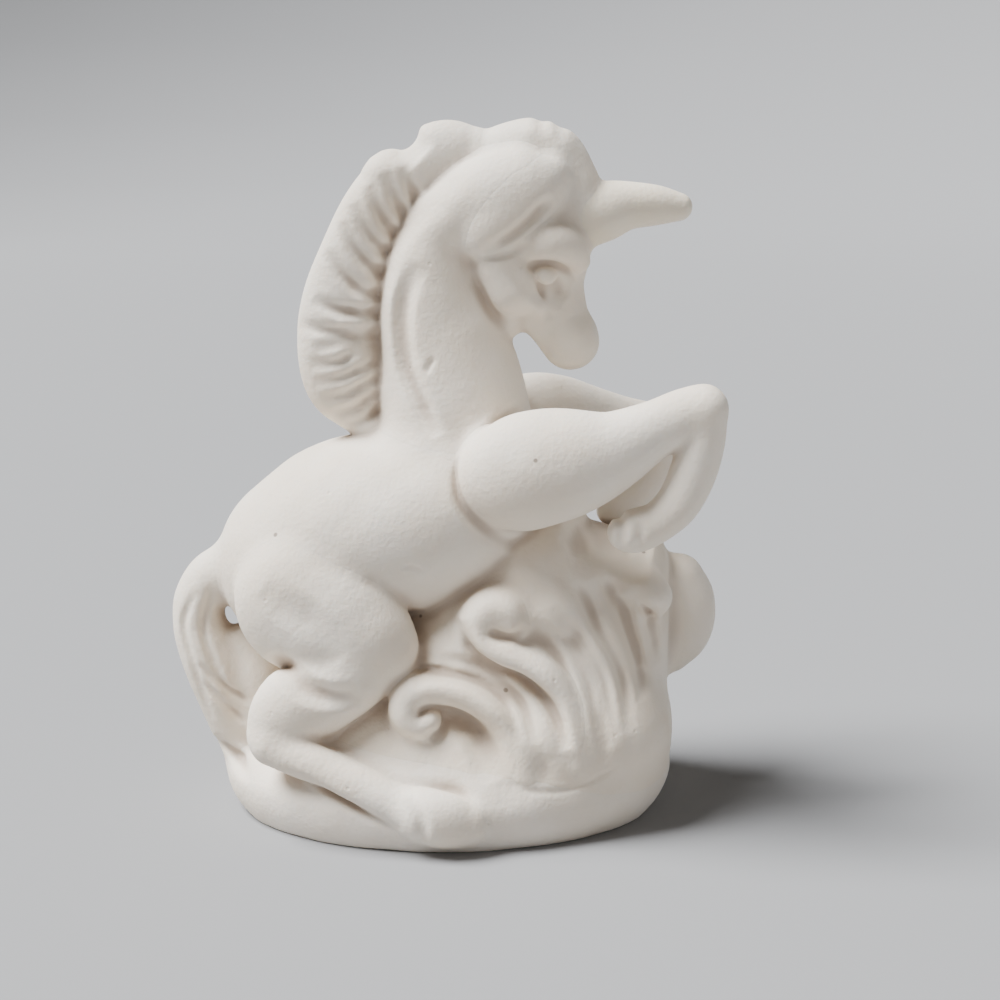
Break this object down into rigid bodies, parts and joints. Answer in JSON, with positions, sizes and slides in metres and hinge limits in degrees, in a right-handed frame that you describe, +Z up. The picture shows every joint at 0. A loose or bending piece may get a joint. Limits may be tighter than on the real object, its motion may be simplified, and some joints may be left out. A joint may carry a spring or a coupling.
{
  "type": "unicorn figurine",
  "caption": "Small white bisque figurine of a rearing unicorn with a blunt horn and a combed mane, standing on an oval plinth with a curling wave under its chest.",
  "frame": {"origin": "centre of the plinth's flat underside, on the table", "axes": "+X towards the unicorn's front, +Y towards its left side, +Z up"},
  "size_m": [0.0615, 0.0388, 0.0757],
  "materials": {
    "body_bisque": "unglazed matt bisque porcelain, faintly warm white",
    "hair_bisque": "unglazed matt bisque porcelain with combed grooves",
    "horn_bisque": "unglazed matt bisque porcelain, a little yellower at the tip",
    "wave_bisque": "unglazed matt bisque porcelain with flowing ridges",
    "plinth_bisque": "unglazed matt bisque porcelain, rubbed at the foot"
  },
  "bodies": {
    "root": {"plinth": "plinth_bisque", "wave": "wave_bisque", "wave_knob": "wave_bisque", "upper_curl": "wave_bisque", "lower_curl": "wave_bisque", "trunk": "body_bisque", "neck": "body_bisque", "head": "body_bisque", "right_ear": "body_bisque", "left_ear": "body_bisque", "horn": "horn_bisque", "mane": "hair_bisque", "forelock": "hair_bisque", "tail": "hair_bisque", "right_foreleg": "body_bisque", "left_foreleg": "body_bisque", "right_hind_leg": "body_bisque", "left_hind_leg": "body_bisque"}
  },
  "joints": []
}
